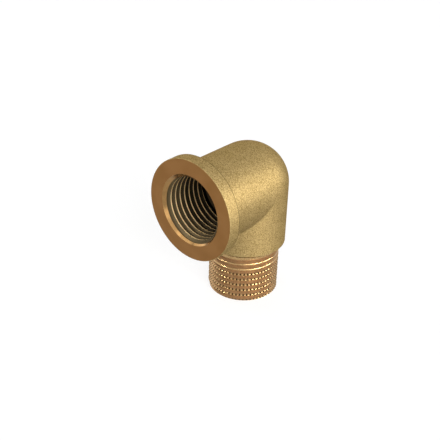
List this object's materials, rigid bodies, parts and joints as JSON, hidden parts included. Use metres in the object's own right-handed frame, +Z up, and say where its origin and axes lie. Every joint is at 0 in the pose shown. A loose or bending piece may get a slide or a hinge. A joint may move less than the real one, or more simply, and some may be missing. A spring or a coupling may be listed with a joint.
{
  "type": "threaded pipe elbow",
  "caption": "Brass street elbow that turns a pipe run by a right angle: collared female thread at the mouth, notched male thread at the foot, open waterway through the bend.",
  "frame": {"origin": "centre of the male end face, on the male axis", "axes": "+Z up the male axis to where it crosses the female axis, -Y out of the female mouth, +X across the bend"},
  "size_m": [0.0302, 0.0364, 0.0502],
  "materials": {
    "brass": "sand-blasted forged outside with a fine metallic sparkle, mouth face and threads machined smooth"
  },
  "bodies": {
    "root": {"elbow_body": "brass"}
  },
  "joints": []
}
